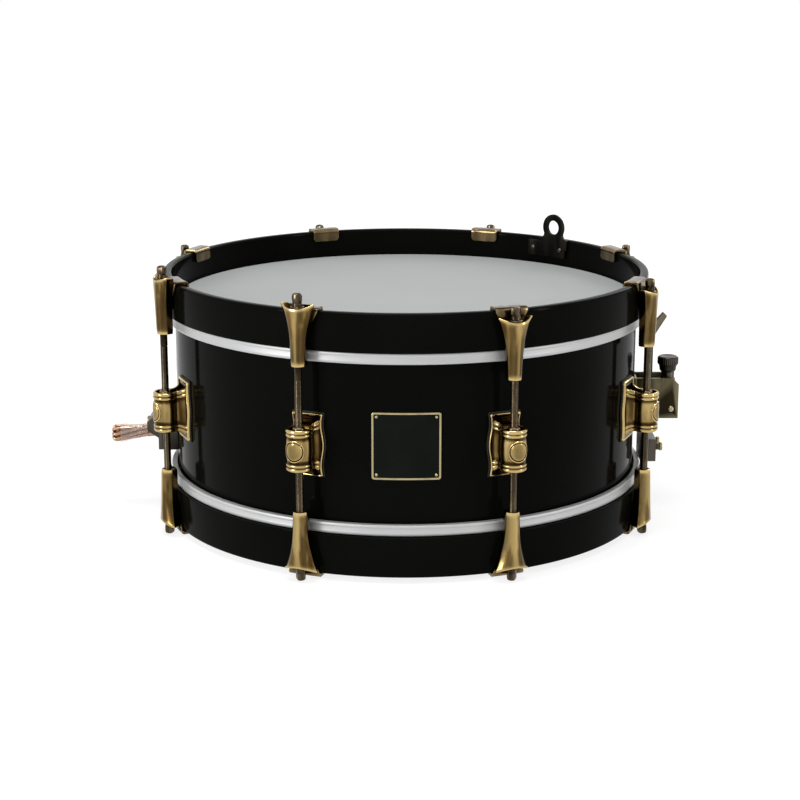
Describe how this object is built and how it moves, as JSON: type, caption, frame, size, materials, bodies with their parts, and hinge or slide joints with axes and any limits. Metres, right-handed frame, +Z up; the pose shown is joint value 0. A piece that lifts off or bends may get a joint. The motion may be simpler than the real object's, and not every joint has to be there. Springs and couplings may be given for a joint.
{
  "type": "snare drum",
  "caption": "Marching-style snare drum: wooden shell and hoops, claw hooks on tension rods, tube lugs, throw-off strainer, butt clamp and strap eye.",
  "frame": {"origin": "centre of the batter head's playing surface", "axes": "+Z up out of the batter head along the shell's axis, -Y towards the badge, +X towards the strainer"},
  "size_m": [0.4441, 0.3746, 0.2127],
  "materials": {
    "black_lacquer": "high-gloss black lacquer over wood",
    "coated_film": "smooth white polyester film, low sheen",
    "clear_film": "thin hazy clear film",
    "satin_aluminium": "brushed satin aluminium",
    "antique_brass": "antique brass, polished on its edges and dark in its recesses",
    "badge_brass": "brass border round a bare black field",
    "dark_bronze": "dark bronzed steel",
    "olive_brass": "dull olive brass sheet",
    "black_steel": "black oxide steel",
    "bronze_strand": "bronze-wound strands"
  },
  "bodies": {
    "root": {"shell": "black_lacquer", "vent_grommet": "antique_brass", "badge_plate": "badge_brass", "batter_head": "coated_film", "snare_head": "clear_film", "lug_1": "antique_brass", "lug_2": "antique_brass", "lug_3": "antique_brass", "lug_4": "antique_brass", "lug_5": "antique_brass", "lug_6": "antique_brass", "lug_7": "antique_brass", "lug_8": "antique_brass", "strainer_base": "olive_brass", "strainer_pivot": "dark_bronze", "butt_base": "black_steel", "butt_clamp_bar": "black_steel", "snare_strands": "bronze_strand"},
    "batter_hoop": {"batter_counterhoop": "black_lacquer", "batter_flesh_hoop": "satin_aluminium", "strap_eye": "black_steel", "batter_claw_1": "antique_brass", "batter_claw_2": "antique_brass", "batter_claw_3": "antique_brass", "batter_claw_4": "antique_brass", "batter_claw_5": "antique_brass", "batter_claw_6": "antique_brass", "batter_claw_7": "antique_brass", "batter_claw_8": "antique_brass"},
    "snare_hoop": {"snare_counterhoop": "black_lacquer", "snare_flesh_hoop": "satin_aluminium", "snare_claw_1": "antique_brass", "snare_claw_2": "antique_brass", "snare_claw_3": "antique_brass", "snare_claw_4": "antique_brass", "snare_claw_5": "antique_brass", "snare_claw_6": "antique_brass", "snare_claw_7": "antique_brass", "snare_claw_8": "antique_brass"},
    "batter_rod_1": {"batter_rod_1": "dark_bronze"},
    "batter_rod_2": {"batter_rod_2": "dark_bronze"},
    "batter_rod_3": {"batter_rod_3": "dark_bronze"},
    "batter_rod_4": {"batter_rod_4": "dark_bronze"},
    "batter_rod_5": {"batter_rod_5": "dark_bronze"},
    "batter_rod_6": {"batter_rod_6": "dark_bronze"},
    "batter_rod_7": {"batter_rod_7": "dark_bronze"},
    "batter_rod_8": {"batter_rod_8": "dark_bronze"},
    "snare_rod_1": {"snare_rod_1": "dark_bronze"},
    "snare_rod_2": {"snare_rod_2": "dark_bronze"},
    "snare_rod_3": {"snare_rod_3": "dark_bronze"},
    "snare_rod_4": {"snare_rod_4": "dark_bronze"},
    "snare_rod_5": {"snare_rod_5": "dark_bronze"},
    "snare_rod_6": {"snare_rod_6": "dark_bronze"},
    "snare_rod_7": {"snare_rod_7": "dark_bronze"},
    "snare_rod_8": {"snare_rod_8": "dark_bronze"},
    "strainer_lever": {"strainer_lever": "black_steel"},
    "strainer_carriage": {"strainer_carriage": "black_steel", "strainer_clamp_bar": "black_steel"},
    "strainer_knob": {"strainer_knob": "black_steel"}
  },
  "joints": [
    {"name": "batter_hoop_lift", "type": "slide", "parent": "root", "child": "batter_hoop", "axis": [0, 0, 1], "range_m": [0, 0.003]},
    {"name": "snare_hoop_drop", "type": "slide", "parent": "root", "child": "snare_hoop", "axis": [0, 0, -1], "range_m": [0, 0.003]},
    {"name": "batter_rod_1_turn", "type": "hinge", "parent": "batter_hoop", "child": "batter_rod_1", "pos_m": [0.17877, 0.07405, 0.0143], "axis": [0, 0, 1], "range_deg": [0, 1021]},
    {"name": "batter_rod_2_turn", "type": "hinge", "parent": "batter_hoop", "child": "batter_rod_2", "pos_m": [0.07405, 0.17877, 0.0143], "axis": [0, 0, 1], "range_deg": [0, 1021]},
    {"name": "batter_rod_3_turn", "type": "hinge", "parent": "batter_hoop", "child": "batter_rod_3", "pos_m": [-0.07405, 0.17877, 0.0143], "axis": [0, 0, 1], "range_deg": [0, 1021]},
    {"name": "batter_rod_4_turn", "type": "hinge", "parent": "batter_hoop", "child": "batter_rod_4", "pos_m": [-0.17877, 0.07405, 0.0143], "axis": [0, 0, 1], "range_deg": [0, 1021]},
    {"name": "batter_rod_5_turn", "type": "hinge", "parent": "batter_hoop", "child": "batter_rod_5", "pos_m": [-0.17877, -0.07405, 0.0237], "axis": [0, 0, 1], "range_deg": [0, 1021]},
    {"name": "batter_rod_6_turn", "type": "hinge", "parent": "batter_hoop", "child": "batter_rod_6", "pos_m": [-0.07405, -0.17877, 0.0237], "axis": [0, 0, 1], "range_deg": [0, 1021]},
    {"name": "batter_rod_7_turn", "type": "hinge", "parent": "batter_hoop", "child": "batter_rod_7", "pos_m": [0.07405, -0.17877, 0.0143], "axis": [0, 0, 1], "range_deg": [0, 1021]},
    {"name": "batter_rod_8_turn", "type": "hinge", "parent": "batter_hoop", "child": "batter_rod_8", "pos_m": [0.17877, -0.07405, 0.0143], "axis": [0, 0, 1], "range_deg": [0, 1021]},
    {"name": "snare_rod_1_turn", "type": "hinge", "parent": "snare_hoop", "child": "snare_rod_1", "pos_m": [0.17877, 0.07405, -0.1597], "axis": [0, 0, -1], "range_deg": [0, 1021]},
    {"name": "snare_rod_2_turn", "type": "hinge", "parent": "snare_hoop", "child": "snare_rod_2", "pos_m": [0.07405, 0.17877, -0.1597], "axis": [0, 0, -1], "range_deg": [0, 1021]},
    {"name": "snare_rod_3_turn", "type": "hinge", "parent": "snare_hoop", "child": "snare_rod_3", "pos_m": [-0.07405, 0.17877, -0.1597], "axis": [0, 0, -1], "range_deg": [0, 1021]},
    {"name": "snare_rod_4_turn", "type": "hinge", "parent": "snare_hoop", "child": "snare_rod_4", "pos_m": [-0.17877, 0.07405, -0.1597], "axis": [0, 0, -1], "range_deg": [0, 1021]},
    {"name": "snare_rod_5_turn", "type": "hinge", "parent": "snare_hoop", "child": "snare_rod_5", "pos_m": [-0.17877, -0.07405, -0.1597], "axis": [0, 0, -1], "range_deg": [0, 1021]},
    {"name": "snare_rod_6_turn", "type": "hinge", "parent": "snare_hoop", "child": "snare_rod_6", "pos_m": [-0.07405, -0.17877, -0.1597], "axis": [0, 0, -1], "range_deg": [0, 1021]},
    {"name": "snare_rod_7_turn", "type": "hinge", "parent": "snare_hoop", "child": "snare_rod_7", "pos_m": [0.07405, -0.17877, -0.1597], "axis": [0, 0, -1], "range_deg": [0, 1021]},
    {"name": "snare_rod_8_turn", "type": "hinge", "parent": "snare_hoop", "child": "snare_rod_8", "pos_m": [0.17877, -0.07405, -0.1597], "axis": [0, 0, -1], "range_deg": [0, 1021]},
    {"name": "strainer_throw", "type": "hinge", "parent": "root", "child": "strainer_lever", "pos_m": [0.1915, 0, -0.08], "axis": [0, 1, 0], "range_deg": [0, 95.1]},
    {"name": "strainer_drop", "type": "slide", "parent": "root", "child": "strainer_carriage", "axis": [0, 0, -1], "range_m": [0, 0.007]},
    {"name": "strainer_knob_turn", "type": "hinge", "parent": "strainer_carriage", "child": "strainer_knob", "pos_m": [0.205, 0, -0.062], "axis": [0, 0, 1], "range_deg": [-900, 900]}
  ],
  "couplings": [
    {"joint": "batter_rod_1_turn", "follows": "batter_hoop_lift", "rad_per_m": 5936.9},
    {"joint": "batter_rod_2_turn", "follows": "batter_hoop_lift", "rad_per_m": 5936.9},
    {"joint": "batter_rod_3_turn", "follows": "batter_hoop_lift", "rad_per_m": 5936.9},
    {"joint": "batter_rod_4_turn", "follows": "batter_hoop_lift", "rad_per_m": 5936.9},
    {"joint": "batter_rod_5_turn", "follows": "batter_hoop_lift", "rad_per_m": 5936.9},
    {"joint": "batter_rod_6_turn", "follows": "batter_hoop_lift", "rad_per_m": 5936.9},
    {"joint": "batter_rod_7_turn", "follows": "batter_hoop_lift", "rad_per_m": 5936.9},
    {"joint": "batter_rod_8_turn", "follows": "batter_hoop_lift", "rad_per_m": 5936.9},
    {"joint": "snare_rod_1_turn", "follows": "snare_hoop_drop", "rad_per_m": 5936.9},
    {"joint": "snare_rod_2_turn", "follows": "snare_hoop_drop", "rad_per_m": 5936.9},
    {"joint": "snare_rod_3_turn", "follows": "snare_hoop_drop", "rad_per_m": 5936.9},
    {"joint": "snare_rod_4_turn", "follows": "snare_hoop_drop", "rad_per_m": 5936.9},
    {"joint": "snare_rod_5_turn", "follows": "snare_hoop_drop", "rad_per_m": 5936.9},
    {"joint": "snare_rod_6_turn", "follows": "snare_hoop_drop", "rad_per_m": 5936.9},
    {"joint": "snare_rod_7_turn", "follows": "snare_hoop_drop", "rad_per_m": 5936.9},
    {"joint": "snare_rod_8_turn", "follows": "snare_hoop_drop", "rad_per_m": 5936.9},
    {"joint": "strainer_throw", "follows": "strainer_drop", "rad_per_m": 236.87}
  ]
}
